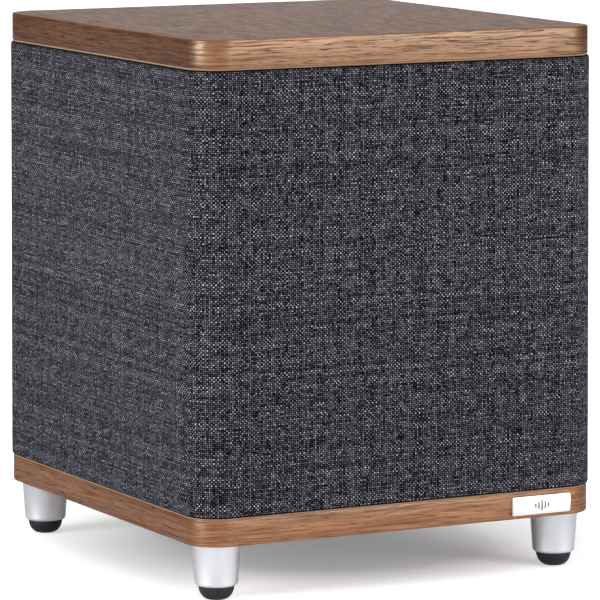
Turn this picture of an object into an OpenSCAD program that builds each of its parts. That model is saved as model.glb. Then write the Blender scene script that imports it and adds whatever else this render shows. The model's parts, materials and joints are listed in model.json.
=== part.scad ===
// Compact down-firing subwoofer: a fabric-wrapped cabinet between two walnut panels, on four tapered feet.
// Origin: on the floor, under the centre of the whole object's box, badge and knobs included.
// +X is right seen from the front, +Y is back, +Z is up.
// The modules place their parts from the cabinet's own centre; the last lines move them all to the origin.
// All sizes are in millimetres.

/* [Cabinet] */
// Width of the walnut panels
cabinet_w = 270; // [262:1:300]
// Depth of the walnut panels
cabinet_d = 282; // [274:1:310]
// Overall height, feet included
overall_h = 330; // [322:1:360]
// Radius of the vertical corners
corner_r = 20; // [17:0.5:24]
// Thickness of the top panel
top_t = 17; // [15:0.5:20]
// Thickness of the bottom panel
bottom_t = 16; // [16:0.5:20]
// Thickness of the four wall boards
wall_t = 15; // [14:0.5:16]
// Thickness of the fabric with its backing
fabric_t = 1.5; // [1:0.1:2]

/* [Feet and badge] */
// Height from the floor to the underside of the bottom panel
foot_h = 33.6; // [30:0.2:38]
// Radius of a foot where it meets the bottom panel
foot_r = 14.8; // [13.5:0.1:16]
// Width of the badge on the bottom panel
badge_w = 40; // [30:1:42]
// Height of the badge
badge_h = 11; // [9:0.5:12]

/* [Driver] */
// Outer radius of the driver's frame
driver_r = 104; // [102:0.5:108]
// Travel of the cone each way
cone_travel = 7; // [3:0.5:7]

/* [Amplifier] */
// Width of the amplifier plate
plate_w = 190; // [184:1:200]
// Height of the amplifier plate
plate_h = 210; // [204:1:220]
// Radius of the two control knobs
knob_r = 9; // [7:0.5:11]
// Travel of the two slide switches
switch_travel = 4; // [3:0.5:4]
// Tilt of the mains rocker to each side, in degrees
rocker_tilt = 8; // [4:1:9]

/* [Hidden] */
$fn = 96;

eps = 0.05;            // how far a cutting shape runs past the face it cuts
seat = 0.02;           // hairline between round parts that are glued or screwed together
running = 0.05;        // radial clearance of a shaft that turns

// Cabinet heights and outlines
wall_z = foot_h + bottom_t;
wall_top = overall_h - top_t;
wall_h = wall_top - wall_z;
wall_inset = 0.5;      // wall boards stand this far inside the panel edges, under the fabric
wall_w = cabinet_w - 2 * wall_inset;
wall_d = cabinet_d - 2 * wall_inset;
inner_w = wall_w - 2 * wall_t;
inner_d = wall_d - 2 * wall_t;
shadow_gap = 0.8;      // between the fabric's edges and the panels
batten = 18;
brace_z = 195;
brace_t = 15;
brace_d = 50;
wadding_t = 18;
dowel_r = 3;
dowel_l = 30;
dowel_x = 70;
dowel_in_wall = 0.6;   // share of a dowel's length that sits in the wall board
screw_r = 2;
base_screw_l = 40;
base_screw_head_r = 4;
base_screw_head_h = 2.2;
hole_play = 0.1;       // room left round and past a wood screw
hex_r = 1.4;           // hexagonal drive of the wood screws and the driver's screws
hex_depth = 1.5;

// Feet
foot_x = cabinet_w / 2 - corner_r;
foot_y = cabinet_d / 2 - corner_r;
foot_low_r = foot_r - 1.95;
foot_round = 2.2;      // rounding around the lower end of a foot
pad_h = 8.3;
pad_r = 10.8;
pad_flat_r = 4;        // flat that stands on the floor
pad_plug_r = 5;
pad_plug_h = 4;
stud_r = 4;
stud_l = 33;
stud_z = 14;
insert_r = 5.5;
insert_l = 13.5;

// Badge, on the front edge of the bottom panel
badge_x = 94;
badge_z = foot_h + bottom_t / 2;
badge_t = 1.9;
badge_r = 0.8;         // rounding of its corners
badge_bow_r = 22;      // the badge's face is a slice of a lying cylinder
badge_pin_r = 1.2;
badge_pin_l = 6;
badge_pin_x = 13;
bar_count = 5;
bar_w = 1;
bar_pitch = 2.2;
bar_depth = 0.6;
bar_h_middle = 6.2;
bar_h_step = 1.8;      // how much shorter each next bar is

// Driver: heights above the underside of the bottom panel
recess_depth = 6;
flange_low = 1.5;
flange_high = 5;
cutout_r = 93;
lip_t = 0.8;
roll_r = 5.5;
roll_centre = 85.5;
cone_r = 80;
cone_lip = 4;
cone_t = 1.4;
coil_r = 25;
former_t = 0.3;
winding_t = 0.9;
neck_z = 38;
spider_z = 44;
spider_t = 0.6;
spider_r = 57;
spider_land_r = 50;
plate_low = 52;
plate_t = 8;
magnet_t = cone_travel + 13;
yoke_t = 8;
winding_l = plate_t + 2 * cone_travel - 2;
cap_r = 32;
cap_rise = 9;
cap_t = 0.8;
driver_screw_ring = driver_r - 3.5;
driver_screws_n = 8;
driver_screw_l = 15;
driver_head_r = 3.6;
driver_head_low = 1.2; // straight lower part of a driver screw's head
driver_head_h = 2.2;

// Amplifier: x and z are measured from the centre of the plate
amp_z = (wall_z + wall_top) / 2;
plate_t3 = 3;          // thickness of the amplifier plate
plate_r = 8;
fabric_y = cabinet_d / 2 - wall_inset + fabric_t;
amp_y = fabric_y + plate_t3;
hole_inset = 17;       // opening of the rear board, inside the plate's edge
fabric_inset = 10;     // opening of the fabric, inside the plate's edge
gasket_inset = 10.5;
screw_inset = 6;
amp_screw_r = 1.75;
amp_screw_l = 17.5;
shaft_r = 3;
bushing_r = 3.5;
knob_l = 15;
knob_gap = 3;          // knob's back above the plate
box_centre_y = (amp_y + knob_gap + knob_l - cabinet_d / 2 - badge_t) / 2;   // knob ends to badge face
control_z = 66;
level_x = 45;
crossover_x = 8;
phase_x = -28;
mode_x = -60;
board_t = 1.6;
control_board_y = 14;  // front of the control board behind the plate's face
slot_w = 8.4;
slot_h = 3.8;
socket_z = 22;
socket_x = [25, 45];
socket_r = 4.15;
socket_l = 9.5;
light_x = -60;
light_z = 30;
light_r = 1.5;
rocker_x = -35;
rocker_z = -62;
rocker_w = 11;
rocker_l = 17;
rocker_depth = 2.5;    // the rocker's pin lies this far behind the plate's face
rocker_pin_r = 1.2;
inlet_x = 30;
inlet_z = -60;
inlet_w = 27;
inlet_h = 31;
inlet_depth = 20;
drawer_w = 22.6;
drawer_h = 7.6;
drawer_l = 18;
drawer_z = -10.5;
drawer_pull = 1.5;     // how far the drawer's front stands off the inlet's flange
fuse_r = 2.5;
fuse_l = 20;
fuse_depth = -14;
flange_t = 2;
main_board_y = 33;
main_board_w = 150;
main_board_h = 84;
main_board_z = -42;
spacer_x = 70;
spacer_z = 36;

// ---- shared shapes ----

// Rectangle with round corners, centred
module rounded_rect(w, d, r) {
  square([w - 2 * r, d], center = true);
  square([w, d - 2 * r], center = true);
  for (x = [-1, 1], y = [-1, 1])
    translate([x * (w / 2 - r), y * (d / 2 - r)])
      circle(r);
}

// Upright slab with the cabinet's kind of outline
module slab(w, d, r, t) {
  linear_extrude(t)
    rounded_rect(w, d, r);
}

// Upright ring from inner radius a to outer radius b
module ring(a, b, t) {
  difference() {
    cylinder(h = t, r = b);
    translate([0, 0, -eps])
      cylinder(h = t + 2 * eps, r = a);
  }
}

// Children at the four feet
module at_feet() {
  for (x = [-1, 1], y = [-1, 1])
    translate([x * foot_x, y * foot_y, 0])
      children();
}

// Children around the driver's axis
module at_driver_screws() {
  for (i = [0 : driver_screws_n - 1])
    rotate(360 / driver_screws_n * (i + 0.5))
      translate([driver_screw_ring, 0, foot_h])
        children();
}

// Children on the amplifier plate: +Z points out of the back, Z = 0 is the plate's outer face
module on_amp(x, z) {
  translate([x, amp_y, amp_z + z])
    rotate([-90, 0, 0])
      children();
}

// Box centred across, from depth z to z + t
module block(w, h, z, t) {
  translate([-w / 2, -h / 2, z])
    cube([w, h, t]);
}

module at_amp_screws() {
  for (x = [-1, 1], z = [-1, -1 / 3, 1 / 3, 1])
    on_amp(x * (plate_w / 2 - screw_inset), z * (plate_h / 2 - screw_inset))
      children();
}

// ---- cabinet ----

module walls_outline() {
  translate([0, 0, wall_z])
    slab(wall_w, wall_d, corner_r - wall_inset, wall_h);
}

module at_dowels() {
  for (x = [-1, 1], y = [-1, 1])
    translate([x * dowel_x, y * (wall_d - wall_t) / 2, wall_top - dowel_l * dowel_in_wall])
      children();
}

module at_base_screws() {
  for (x = [-1, 1], y = [-1, 1]) {
    translate([x * dowel_x, y * (wall_d - wall_t) / 2, foot_h])
      children();
    translate([x * (wall_w - wall_t) / 2, y * dowel_x, foot_h])
      children();
  }
}

// Countersunk screw, head down, with play added all round
module base_screw(play) {
  cylinder(h = base_screw_l + play, r = screw_r + play);
  cylinder(h = base_screw_head_h + play, r1 = base_screw_head_r + play, r2 = screw_r + play);
}

module top_panel() {
  color("peru")
    difference() {
      translate([0, 0, wall_top])
        slab(cabinet_w, cabinet_d, corner_r, top_t);
      at_dowels()
        cylinder(h = dowel_l + seat, r = dowel_r + seat);
    }
}

module bottom_panel() {
  color("sienna")
    difference() {
      translate([0, 0, foot_h])
        slab(cabinet_w, cabinet_d, corner_r, bottom_t);
      translate([0, 0, foot_h - eps])
        cylinder(h = recess_depth + eps, r = driver_r + 0.5);
      translate([0, 0, foot_h])
        cylinder(h = bottom_t + eps, r = cutout_r);
      at_driver_screws()
        cylinder(h = driver_screw_l + hole_play, r = screw_r + seat);
      at_feet()
        translate([0, 0, foot_h - eps])
          cylinder(h = insert_l + 0.5 + eps, r = insert_r + seat);
      at_base_screws()
        base_screw(hole_play);
      for (x = [-1, 1])
        translate([badge_x + x * badge_pin_x, -cabinet_d / 2 - eps, badge_z])
          rotate([-90, 0, 0])
            cylinder(h = badge_pin_l + 0.3, r = badge_pin_r + seat);
    }
}

// Front or rear board: side is -1 for the front and 1 for the rear
module end_board(side) {
  difference() {
    intersection() {
      walls_outline();
      translate([-wall_w / 2, side * (wall_d - wall_t) / 2 - wall_t / 2, wall_z])
        cube([wall_w, wall_t, wall_h]);
    }
    at_dowels()
      cylinder(h = dowel_l, r = dowel_r + seat);
    at_base_screws()
      base_screw(hole_play);
  }
}

module front_board() {
  color("burlywood")
    end_board(-1);
}

module rear_board() {
  color("burlywood")
    difference() {
      end_board(1);
      on_amp(0, 0)
        translate([0, 0, -2 * wall_t])
          slab(plate_w - 2 * hole_inset, plate_h - 2 * hole_inset, plate_r, 3 * wall_t);
      at_amp_screws()
        translate([0, 0, -amp_screw_l - 0.5])
          cylinder(h = amp_screw_l + 0.5, r = amp_screw_r + seat);
    }
}

// Left or right board, between the end boards
module side_board(side) {
  color("burlywood")
    difference() {
      intersection() {
        walls_outline();
        translate([side * (wall_w - wall_t) / 2 - wall_t / 2, -inner_d / 2, wall_z])
          cube([wall_t, inner_d, wall_h]);
      }
      at_base_screws()
        base_screw(hole_play);
    }
}

module corner_battens() {
  color("wheat")
    for (x = [-1, 1], y = [-1, 1])
      translate([x * (inner_w - batten) / 2, y * (inner_d - batten) / 2, wall_z])
        translate([-batten / 2, -batten / 2, 0])
          cube([batten, batten, wall_h]);
}

module cross_brace() {
  hole_r = 15;
  hole_pitch = 44;
  color("wheat")
    difference() {
      translate([-inner_w / 2, -brace_d, brace_z])
        cube([inner_w, brace_d, brace_t]);
      for (x = [-2 : 2])
        translate([x * hole_pitch, -brace_d / 2, brace_z - eps])
          cylinder(h = brace_t + 2 * eps, r = hole_r);
    }
}

module top_dowels() {
  color("tan")
    at_dowels()
      cylinder(h = dowel_l, r = dowel_r);
}

module base_screws() {
  color("dimgray")
    at_base_screws()
      difference() {
        base_screw(0);
        translate([0, 0, -eps])
          cylinder(h = hex_depth, r = hex_r, $fn = 6);
      }
}

// The fabric runs round the four walls, with an opening behind the amplifier plate
module fabric_sleeve() {
  proud = fabric_t - wall_inset;
  punch_r = 2.5;
  color("slategray")
    difference() {
      translate([0, 0, wall_z + shadow_gap])
        slab(cabinet_w + 2 * proud, cabinet_d + 2 * proud, corner_r + proud, wall_h - 2 * shadow_gap);
      translate([0, 0, wall_z])
        slab(wall_w, wall_d, corner_r - wall_inset, wall_h);
      on_amp(0, 0)
        translate([0, 0, -plate_t3 - wall_t])
          slab(plate_w - 2 * fabric_inset, plate_h - 2 * fabric_inset, plate_r, 2 * wall_t);
      at_amp_screws()
        translate([0, 0, -plate_t3 - 2 * fabric_t])
          cylinder(h = 3 * fabric_t, r = punch_r);
    }
}

// Three pads of fibre, on the front and side boards
module wadding() {
  margin = 12;
  play = 2;
  pad_z = wall_z + margin;
  pad_top = wall_top - margin;
  front_w = inner_w - 2 * batten - play;
  side_d = 150;
  color("whitesmoke")
    difference() {
      union() {
        translate([-front_w / 2, -inner_d / 2, pad_z])
          cube([front_w, wadding_t, pad_top - pad_z]);
        for (x = [-1, 1])
          translate([x * (inner_w - wadding_t) / 2 - wadding_t / 2, -inner_d / 2 + batten + play, pad_z])
            cube([wadding_t, side_d, pad_top - pad_z]);
      }
      translate([-inner_w / 2 - eps, -brace_d - play, brace_z - play])
        cube([inner_w + 2 * eps, brace_d + 2 * play, brace_t + 2 * play]);
    }
}

// ---- feet and badge ----

module foot() {
  low = pad_h;
  round_x = foot_low_r - foot_round;
  round_z = low + foot_round;
  arc = [for (a = [-90 : 15 : 0]) [round_x + foot_round * cos(a), round_z + foot_round * sin(a)]];
  difference() {
    rotate_extrude()
      polygon(concat([[0, low]], arc, [[foot_r, foot_h], [0, foot_h]]));
    translate([0, 0, low - eps])
      cylinder(h = pad_plug_h + 0.2 + eps, r = pad_plug_r + seat);
    translate([0, 0, stud_z - 0.5])
      cylinder(h = foot_h, r = stud_r + seat);
  }
}

module feet() {
  color("silver")
    at_feet()
      foot();
}

module foot_studs() {
  color("gray")
    at_feet()
      translate([0, 0, stud_z])
        cylinder(h = stud_l, r = stud_r);
}

module foot_inserts() {
  color("goldenrod")
    at_feet()
      translate([0, 0, foot_h])
        ring(stud_r + seat, insert_r, insert_l);
}

// Rubber dome with a small flat and a plug that holds it in the foot
module foot_pads() {
  centre = sqrt(pad_r * pad_r - pad_flat_r * pad_flat_r);
  color([0.08, 0.08, 0.08])
    at_feet() {
      intersection() {
        translate([0, 0, centre])
          sphere(pad_r);
        cylinder(h = pad_h, r = pad_r + 1);
      }
      cylinder(h = pad_h + pad_plug_h, r = pad_plug_r);
    }
}

// The bowed body of the badge, out to depth t over the panel's front edge
module badge_bow(t) {
  translate([badge_x - badge_w / 2 - 1, -cabinet_d / 2 - t + badge_bow_r, badge_z])
    rotate([0, 90, 0])
      cylinder(h = badge_w + 2, r = badge_bow_r, $fn = 720);
}

// A row of upright bars, tallest in the middle, pressed into the badge
module badge_bars() {
  for (i = [0 : bar_count - 1]) {
    step = i - (bar_count - 1) / 2;
    bar_h = bar_h_middle - abs(step) * bar_h_step;
    translate([badge_x + step * bar_pitch - bar_w / 2, -cabinet_d / 2 - badge_t - 1, badge_z - bar_h / 2])
      cube([bar_w, 1 + bar_depth, bar_h]);
  }
}

module badge() {
  color("silver") {
    difference() {
      intersection() {
        translate([badge_x, -cabinet_d / 2, badge_z])
          rotate([90, 0, 0])
            slab(badge_w, badge_h, badge_r, badge_t + 1);
        badge_bow(badge_t);
      }
      badge_bars();
    }
    for (x = [-1, 1])
      translate([badge_x + x * badge_pin_x, -cabinet_d / 2 - 0.5, badge_z])
        rotate([-90, 0, 0])
          cylinder(h = badge_pin_l + 0.5, r = badge_pin_r);
  }
}

module badge_inlay() {
  color([0.1, 0.1, 0.1])
    intersection() {
      badge_bars();
      badge_bow(badge_t);
    }
}

// ---- driver ----

// Everything on the driver's axis is drawn upwards from the underside of the bottom panel
module on_driver() {
  translate([0, 0, foot_h])
    children();
}

module driver_screw_holes() {
  for (i = [0 : driver_screws_n - 1])
    rotate(360 / driver_screws_n * (i + 0.5))
      translate([driver_screw_ring, 0, -eps])
        cylinder(h = recess_depth + 2 * eps, r = screw_r + 0.3);
}

module basket() {
  sheet = 1.5;           // thickness of the ledge under the spider
  upper_t = 2.5;         // thickness of the disc under the top plate
  upper_r = 60;
  upper_hole_r = 30;
  windows = 6;
  window_angle = 38;
  outline = [
    [cutout_r - 2, flange_low], [driver_r, flange_low], [driver_r, flange_high], [cutout_r, flange_high],
    [upper_r, spider_z + 1], [upper_r, plate_low], [upper_hole_r, plate_low],
    [upper_hole_r, plate_low - upper_t], [spider_r + 0.5, plate_low - upper_t],
    [spider_r + 0.5, spider_z], [spider_land_r, spider_z], [spider_land_r, spider_z - sheet],
    [spider_r + 1, spider_z - sheet], [cutout_r - 3, flange_high]
  ];
  color([0.15, 0.15, 0.15])
    on_driver()
      difference() {
        rotate_extrude()
          polygon(outline);
        for (i = [0 : windows - 1])
          rotate(360 / windows * (i + 0.5) - window_angle / 2)
            rotate_extrude(angle = window_angle)
              translate([spider_r - 1, flange_high + 4])
                square([34, spider_z - flange_high - 6.2]);
        driver_screw_holes();
      }
}

module driver_gasket() {
  color("black")
    on_driver()
      difference() {
        translate([0, 0, flange_high])
          ring(cutout_r + 0.5, driver_r - 0.5, recess_depth - flange_high);
        driver_screw_holes();
      }
}

module trim_ring() {
  color([0.12, 0.12, 0.12])
    on_driver()
      difference() {
        ring(cutout_r - 1, driver_r, flange_low);
        translate([0, 0, flange_low - lip_t])
          cylinder(h = lip_t + eps, r = 97 + seat);
        driver_screw_holes();
      }
}

module driver_screws() {
  color("black")
    at_driver_screws()
      difference() {
        union() {
          cylinder(h = driver_screw_l, r = screw_r);
          translate([0, 0, -driver_head_low])
            cylinder(h = driver_head_low, r = driver_head_r);
          translate([0, 0, -driver_head_h])
            cylinder(h = driver_head_h - driver_head_low, r1 = driver_head_r - 0.8, r2 = driver_head_r);
        }
        translate([0, 0, -driver_head_h - eps])
          cylinder(h = hex_depth + 2 * eps, r = hex_r, $fn = 6);
      }
}

// Half-roll of rubber that hangs between the frame and the cone
module surround() {
  low = flange_low - lip_t;
  middle = flange_low - lip_t / 2;
  outer_roll = [for (a = [15 : 15 : 165])
    [roll_centre + (roll_r + lip_t / 2) * cos(a), middle - (roll_r + lip_t / 2) * sin(a)]];
  inner_roll = [for (a = [165 : -15 : 15])
    [roll_centre + (roll_r - lip_t / 2) * cos(a), middle - (roll_r - lip_t / 2) * sin(a)]];
  color([0.1, 0.1, 0.1])
    on_driver()
      rotate_extrude()
        polygon(concat(
          [[97, flange_low], [97, low], [roll_centre + roll_r + lip_t / 2, low]],
          outer_roll,
          [[cone_r, low], [cone_r - cone_lip, low], [cone_r - cone_lip, flange_low],
            [roll_centre - roll_r + lip_t / 2, flange_low]],
          inner_roll,
          [[roll_centre + roll_r - lip_t / 2, flange_low]]
        ));
}

module cone() {
  rim = cone_r - cone_lip;
  neck_r = coil_r + former_t + seat;
  color([0.2, 0.2, 0.22])
    on_driver()
      rotate_extrude()
        polygon([
          [cone_r, flange_low], [cone_r, flange_low + cone_t], [rim + 0.5, flange_low + cone_t],
          [neck_r, neck_z + cone_t], [neck_r, neck_z], [rim, flange_low]
        ]);
}

// Shallow dome glued over the neck of the cone, facing down
module dust_cap() {
  slope = (neck_z - flange_low) / (cone_r - cone_lip - coil_r - former_t);
  dome_r = (cap_r * cap_r + cap_rise * cap_rise) / (2 * cap_rise);
  half = asin(cap_r / dome_r);
  // the inner corner of the rim, not the outer one, is what meets the sloping cone
  rim_z = flange_low + (cone_r - cone_lip - cap_r) * slope - cap_t * (cos(half) - sin(half) * slope) - seat;
  centre = rim_z - cap_rise + dome_r;
  steps = 12;
  low = [for (i = [0 : steps])
    [dome_r * sin(half * i / steps), centre - dome_r * cos(half * i / steps)]];
  high = [for (i = [steps : -1 : 0])
    [(dome_r - cap_t) * sin(half * i / steps), centre - (dome_r - cap_t) * cos(half * i / steps)]];
  color([0.12, 0.12, 0.12])
    on_driver()
      rotate_extrude()
        polygon(concat(low, high));
}

// Corrugated disc that keeps the coil centred
module spider() {
  inner = coil_r + former_t + seat;
  wave = 1.4;
  waves = 4;
  steps = 48;
  first = inner + 3;
  span = spider_land_r - 1 - first;
  function wave_z(i) = wave * sin(360 * waves * i / steps);
  low = [for (i = [0 : steps]) [first + span * i / steps, spider_z + wave_z(i)]];
  high = [for (i = [steps : -1 : 0]) [first + span * i / steps, spider_z + spider_t + wave_z(i)]];
  color("darkgoldenrod")
    on_driver()
      rotate_extrude()
        polygon(concat(
          [[inner, spider_z + spider_t], [inner, spider_z]], low,
          [[spider_r, spider_z], [spider_r, spider_z + spider_t]], high
        ));
}

module coil_former() {
  color("sandybrown")
    on_driver()
      translate([0, 0, neck_z - 1])
        ring(coil_r, coil_r + former_t, winding_l + 12);
}

module voice_coil() {
  color("chocolate")
    on_driver()
      translate([0, 0, plate_low + plate_t / 2 - winding_l / 2])
        ring(coil_r + former_t + seat, coil_r + former_t + winding_t, winding_l);
}

module top_plate() {
  color("lightgray")
    on_driver()
      translate([0, 0, plate_low])
        ring(coil_r + former_t + winding_t + 0.5, 55, plate_t);
}

module magnet() {
  color([0.25, 0.25, 0.27])
    on_driver()
      translate([0, 0, plate_low + plate_t])
        ring(30, 58, magnet_t);
}

// Back plate and vented pole in one piece
module yoke() {
  pole_r = coil_r - 0.5;
  vent_r = 8;
  color("lightgray")
    on_driver()
      difference() {
        union() {
          translate([0, 0, plate_low])
            cylinder(h = plate_t + magnet_t, r = pole_r);
          translate([0, 0, plate_low + plate_t + magnet_t])
            cylinder(h = yoke_t, r = 54);
        }
        translate([0, 0, plate_low - eps])
          cylinder(h = plate_t + magnet_t + yoke_t + 2 * eps, r = vent_r);
      }
}

module terminal_block() {
  color([0.1, 0.1, 0.1])
    on_driver()
      difference() {
        translate([-12, 55, spider_z + 1])
          cube([24, 15, 15]);
        translate([0, 0, spider_z])
          cylinder(h = 20, r = 60 + seat);
      }
}

// Quarter turn of wire that starts upwards and ends towards the back, round its centre
module quarter_bend(bend, wire_r) {
  rotate([90, 0, 90])
    rotate(90)
      rotate_extrude(angle = 90)
        translate([bend, 0])
          circle(wire_r);
}

// Two flexible leads from the cone, out through a window of the frame, up to the terminals
module tinsel_leads() {
  lead_r = 0.8;
  bend = 12;
  foot_point = 45;
  lead_y = 66;
  low = flange_low + cone_t + (cone_r - cone_lip - foot_point) * 0.72 + 0.8;
  color("orange")
    for (x = [-1, 1])
      translate([x * 6, 0, foot_h]) {
        translate([0, foot_point + bend, low])
          quarter_bend(bend, lead_r);
        translate([0, foot_point + bend, low + bend])
          rotate([-90, 0, 0])
            cylinder(h = lead_y - foot_point - bend, r = lead_r);
        translate([0, lead_y, low + bend])
          sphere(lead_r);
        translate([0, lead_y, low + bend])
          cylinder(h = spider_z + 1 - low - bend, r = lead_r);
      }
}

// Two wires from the driver's terminals up and back to the main board
module speaker_leads() {
  wire_r = 1.2;
  bend = 12;
  wire_y = 65;
  low = foot_h + spider_z + 16;
  rise = 38;
  end_y = amp_y - main_board_y - board_t;
  color("firebrick")
    for (x = [-1, 1])
      translate([x * 6, 0, 0]) {
        translate([0, wire_y, low])
          cylinder(h = rise, r = wire_r);
        translate([0, wire_y + bend, low + rise])
          quarter_bend(bend, wire_r);
        translate([0, wire_y + bend, low + rise + bend])
          rotate([-90, 0, 0])
            cylinder(h = end_y - wire_y - bend, r = wire_r);
      }
}

// ---- amplifier ----

module amp_plate() {
  color([0.13, 0.13, 0.14])
    difference() {
      on_amp(0, 0)
        translate([0, 0, -plate_t3])
          slab(plate_w, plate_h, plate_r, plate_t3);
      at_amp_screws()
        translate([0, 0, -plate_t3 - eps])
          cylinder(h = plate_t3 + 2 * eps, r = amp_screw_r + 0.2);
      for (x = [level_x, crossover_x])
        on_amp(x, control_z)
          translate([0, 0, -plate_t3 - eps])
            cylinder(h = plate_t3 + 2 * eps, r = bushing_r + running);
      for (x = [phase_x, mode_x])
        on_amp(x, control_z)
          block(slot_w, slot_h, -plate_t3 - eps, plate_t3 + 2 * eps);
      for (x = socket_x)
        on_amp(x, socket_z)
          translate([0, 0, -plate_t3 - eps])
            cylinder(h = plate_t3 + 2 * eps, r = 5.2);
      on_amp(light_x, light_z)
        translate([0, 0, -plate_t3 - eps])
          cylinder(h = plate_t3 + 2 * eps, r = light_r + running);
      on_amp(rocker_x, rocker_z)
        block(rocker_w + 4.2, rocker_l + 4.2, -plate_t3 - eps, plate_t3 + 2 * eps);
      on_amp(inlet_x, inlet_z)
        block(inlet_w + 0.2, inlet_h + 0.2, -plate_t3 - eps, plate_t3 + 2 * eps);
    }
}

module amp_gasket() {
  outer = gasket_inset;
  inner = hole_inset - 0.5;
  color("black")
    on_amp(0, 0)
      translate([0, 0, -plate_t3 - fabric_t])
        difference() {
          slab(plate_w - 2 * outer, plate_h - 2 * outer, plate_r - 1, fabric_t);
          translate([0, 0, -eps])
            slab(plate_w - 2 * inner, plate_h - 2 * inner, plate_r - 2, fabric_t + 2 * eps);
        }
}

module amp_screws() {
  color([0.1, 0.1, 0.1])
    at_amp_screws()
      difference() {
        union() {
          translate([0, 0, -amp_screw_l])
            cylinder(h = amp_screw_l, r = amp_screw_r);
          cylinder(h = 1.2, r = 3.4);
          translate([0, 0, 1.2])
            cylinder(h = 0.9, r1 = 3.4, r2 = 2.6);
        }
        translate([0, 0, 0.7])
          cylinder(h = 2, r = 1.25, $fn = 6);
      }
}

module board_holes(r) {
  for (x = [-1, 1], z = [-1, 1])
    on_amp(x * spacer_x, main_board_z + z * spacer_z)
      translate([0, 0, -main_board_y - board_t - eps])
        cylinder(h = board_t + 2 * eps, r = r);
}

module main_board() {
  color("darkgreen")
    difference() {
      on_amp(0, main_board_z)
        block(main_board_w, main_board_h, -main_board_y - board_t, board_t);
      board_holes(1.6);
    }
}

// Pillars from the amplifier plate to the main board, each with a peg through the board
module board_spacers() {
  color("silver")
    for (x = [-1, 1], z = [-1, 1])
      on_amp(x * spacer_x, main_board_z + z * spacer_z) {
        translate([0, 0, -main_board_y])
          cylinder(h = main_board_y - plate_t3, r = 3);
        translate([0, 0, -main_board_y - board_t - 1])
          cylinder(h = board_t + 2, r = 1.5);
      }
}

module capacitors() {
  color("midnightblue")
    for (x = [-2, 22])
      on_amp(x, main_board_z - 22)
        translate([0, 0, -main_board_y - board_t - 32])
          cylinder(h = 32, r = 10);
}

// Ferrite core with its bobbin standing out on both sides
module transformer() {
  color("saddlebrown")
    on_amp(52, main_board_z) {
      block(32, 36, -main_board_y - board_t - 28, 28);
      block(22, 44, -main_board_y - board_t - 24, 20);
    }
}

module heatsink() {
  fins = 7;
  fin_pitch = 7;
  color("gainsboro")
    on_amp(-42, main_board_z) {
      block(46, 56, -main_board_y - board_t - 5, 5);
      for (i = [0 : fins - 1])
        translate([(i - (fins - 1) / 2) * fin_pitch, 0, 0])
          block(2, 56, -main_board_y - board_t - 26, 22);
    }
}

module control_board() {
  color("darkgreen")
    on_amp(-6, 45)
      block(136, 74, -control_board_y - board_t, board_t);
}

// Housing with a threaded bushing and its nut, bored for the shaft
module control_pot() {
  difference() {
    union() {
      block(12, 12, -control_board_y, 8);
      translate([0, 0, -control_board_y + 8])
        cylinder(h = control_board_y - 8 + 1.8, r = bushing_r);
      cylinder(h = 1.8, r = 5.2, $fn = 6);
    }
    translate([0, 0, -control_board_y + 2])
      cylinder(h = control_board_y, r = shaft_r + running);
  }
}

module control_pots() {
  color("silver")
    for (x = [level_x, crossover_x])
      on_amp(x, control_z)
        control_pot();
}

module shaft(x) {
  color("gainsboro")
    on_amp(x, control_z)
      translate([0, 0, -control_board_y + 2.2])
        cylinder(h = control_board_y - 2.2 + knob_gap + 10, r = shaft_r);
}

// Knob with a wider foot, finger flutes and a pointer groove at its top
module knob(x) {
  flutes = 18;
  color([0.12, 0.12, 0.12])
    on_amp(x, control_z)
      translate([0, 0, knob_gap])
        difference() {
          union() {
            cylinder(h = 2.5, r = knob_r);
            cylinder(h = knob_l - 1, r = knob_r - 1);
            translate([0, 0, knob_l - 1])
              cylinder(h = 1, r1 = knob_r - 1, r2 = knob_r - 2);
          }
          for (i = [0 : flutes - 1])
            rotate(360 / flutes * i)
              translate([knob_r - 0.5, 0, 2.5])
                cylinder(h = knob_l, r = 0.9, $fn = 24);
          translate([-0.5, -knob_r, knob_l - 0.6])
            cube([1, knob_r - 1, 1]);
          translate([0, 0, -eps])
            cylinder(h = 10.2 + eps, r = shaft_r + seat);
        }
}

// Open-fronted housing behind the plate, in which a slider runs
module switch_cases() {
  color("silver")
    for (x = [phase_x, mode_x])
      on_amp(x, control_z)
        difference() {
          block(20, 8, -control_board_y, control_board_y - plate_t3);
          block(slot_w + 1, slot_h + 1, -control_board_y + 3, control_board_y);
        }
}

// Slider at the end of its travel nearer -X
module slider(x) {
  color([0.1, 0.1, 0.1])
    on_amp(x - switch_travel / 2, control_z) {
      block(4.8, 4.2, -9.5, 5.5);
      block(3.2, 3, -4.5, 7);
    }
}

// Case of the mains switch: a flange on the plate, a body behind it and a well for the rocker
module mains_switch_case() {
  color([0.1, 0.1, 0.1])
    on_amp(rocker_x, rocker_z)
      difference() {
        union() {
          block(rocker_w + 7, rocker_l + 7, 0, flange_t);
          block(rocker_w + 4, rocker_l + 4, -16, 16 + eps);
        }
        block(rocker_w + 0.4, rocker_l + 1, -9, 12);
        translate([0, 0, -rocker_depth])
          rotate([0, 90, 0])
            cylinder(h = rocker_w + 3.2, r = rocker_pin_r + running, center = true);
      }
}

// Rocker in its off position, tilted about its pin
module mains_rocker() {
  end = rocker_l / 2 - 0.6;
  face = rocker_depth + 3.2;
  color([0.35, 0.05, 0.05])
    on_amp(rocker_x, rocker_z)
      translate([0, 0, -rocker_depth])
        rotate([-rocker_tilt, 0, 0])
          rotate([0, 90, 0]) {
            linear_extrude(rocker_w, center = true)
              polygon([[3, 2 - end], [-face, -end], [1 - face, 0], [-face, end], [3, end - 2]]);
            cylinder(h = rocker_w + 3, r = rocker_pin_r, center = true);
          }
}

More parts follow.
